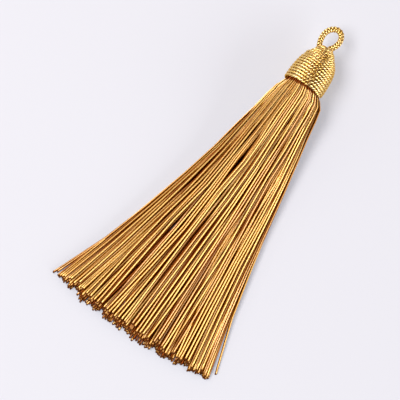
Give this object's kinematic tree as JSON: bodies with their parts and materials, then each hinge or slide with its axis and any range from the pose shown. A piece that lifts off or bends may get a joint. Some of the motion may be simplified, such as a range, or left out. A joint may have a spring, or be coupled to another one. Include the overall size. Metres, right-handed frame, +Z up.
{
  "type": "tassel",
  "caption": "Thread tassel with a head wound in metallic cord and a small twisted hanging loop, lying with its cut threads fanned out.",
  "frame": {"origin": "under the middle of the whole tassel's box, on the surface it lies on", "axes": "+Y along the tassel towards its hanging loop, +Z up, +X to the right seen from above"},
  "size_m": [0.0538, 0.1074, 0.0119],
  "materials": {
    "polyester_thread": "silky twisted polyester thread, mustard gold",
    "metallic_cord": "fine twisted metallic yarn, pale gold"
  },
  "bodies": {
    "root": {"skirt": "polyester_thread", "head": "metallic_cord", "loop": "metallic_cord"}
  },
  "joints": []
}
